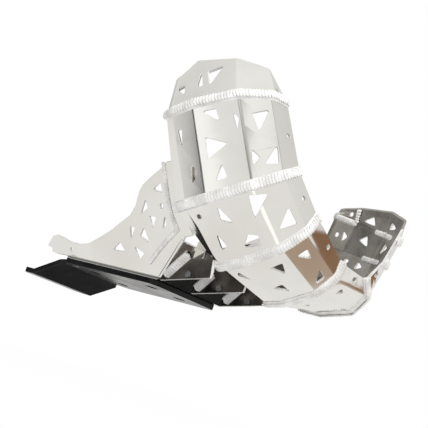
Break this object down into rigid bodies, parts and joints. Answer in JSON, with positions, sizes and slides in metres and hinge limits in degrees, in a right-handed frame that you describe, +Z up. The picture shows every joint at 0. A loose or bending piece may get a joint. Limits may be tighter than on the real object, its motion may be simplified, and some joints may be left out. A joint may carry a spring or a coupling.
{
  "type": "motorcycle skid plate",
  "caption": "Aluminium motorcycle skid plate with side wings, a welded faceted pipe guard on three gussets, and a black plastic bottom with a rear flap.",
  "frame": {"origin": "middle of the four frame bolt holes, on the underside of the aluminium base", "axes": "+X to the bike's left, -Y to the front, +Z up; the base is level"},
  "size_m": [0.3293, 0.5501, 0.353],
  "materials": {
    "sheet": "brushed",
    "weld": "rough rippled weld",
    "plastic": "smooth satin black",
    "steel": "zinc plated"
  },
  "bodies": {
    "root": {"base_plate": "sheet", "right_wing": "sheet", "left_wing": "sheet", "wing_welds": "weld", "gusset_right": "sheet", "gusset_middle": "sheet", "gusset_left": "sheet", "gusset_welds": "weld", "gusset_bolts": "steel", "top_bracket": "sheet", "guard_section_1": "sheet", "guard_section_2": "sheet", "guard_section_3": "sheet", "guard_section_4": "sheet", "guard_section_5": "sheet", "guard_section_6": "sheet", "guard_section_7": "sheet", "guard_section_8": "sheet", "guard_weld_1": "weld", "guard_weld_2": "weld", "guard_weld_3": "weld", "guard_weld_4": "weld", "guard_weld_5": "weld", "guard_weld_6": "weld", "guard_weld_7": "weld", "guard_inner_welds": "weld", "plastic_bottom": "plastic", "plastic_screws": "steel", "plastic_nuts": "steel"}
  },
  "joints": []
}
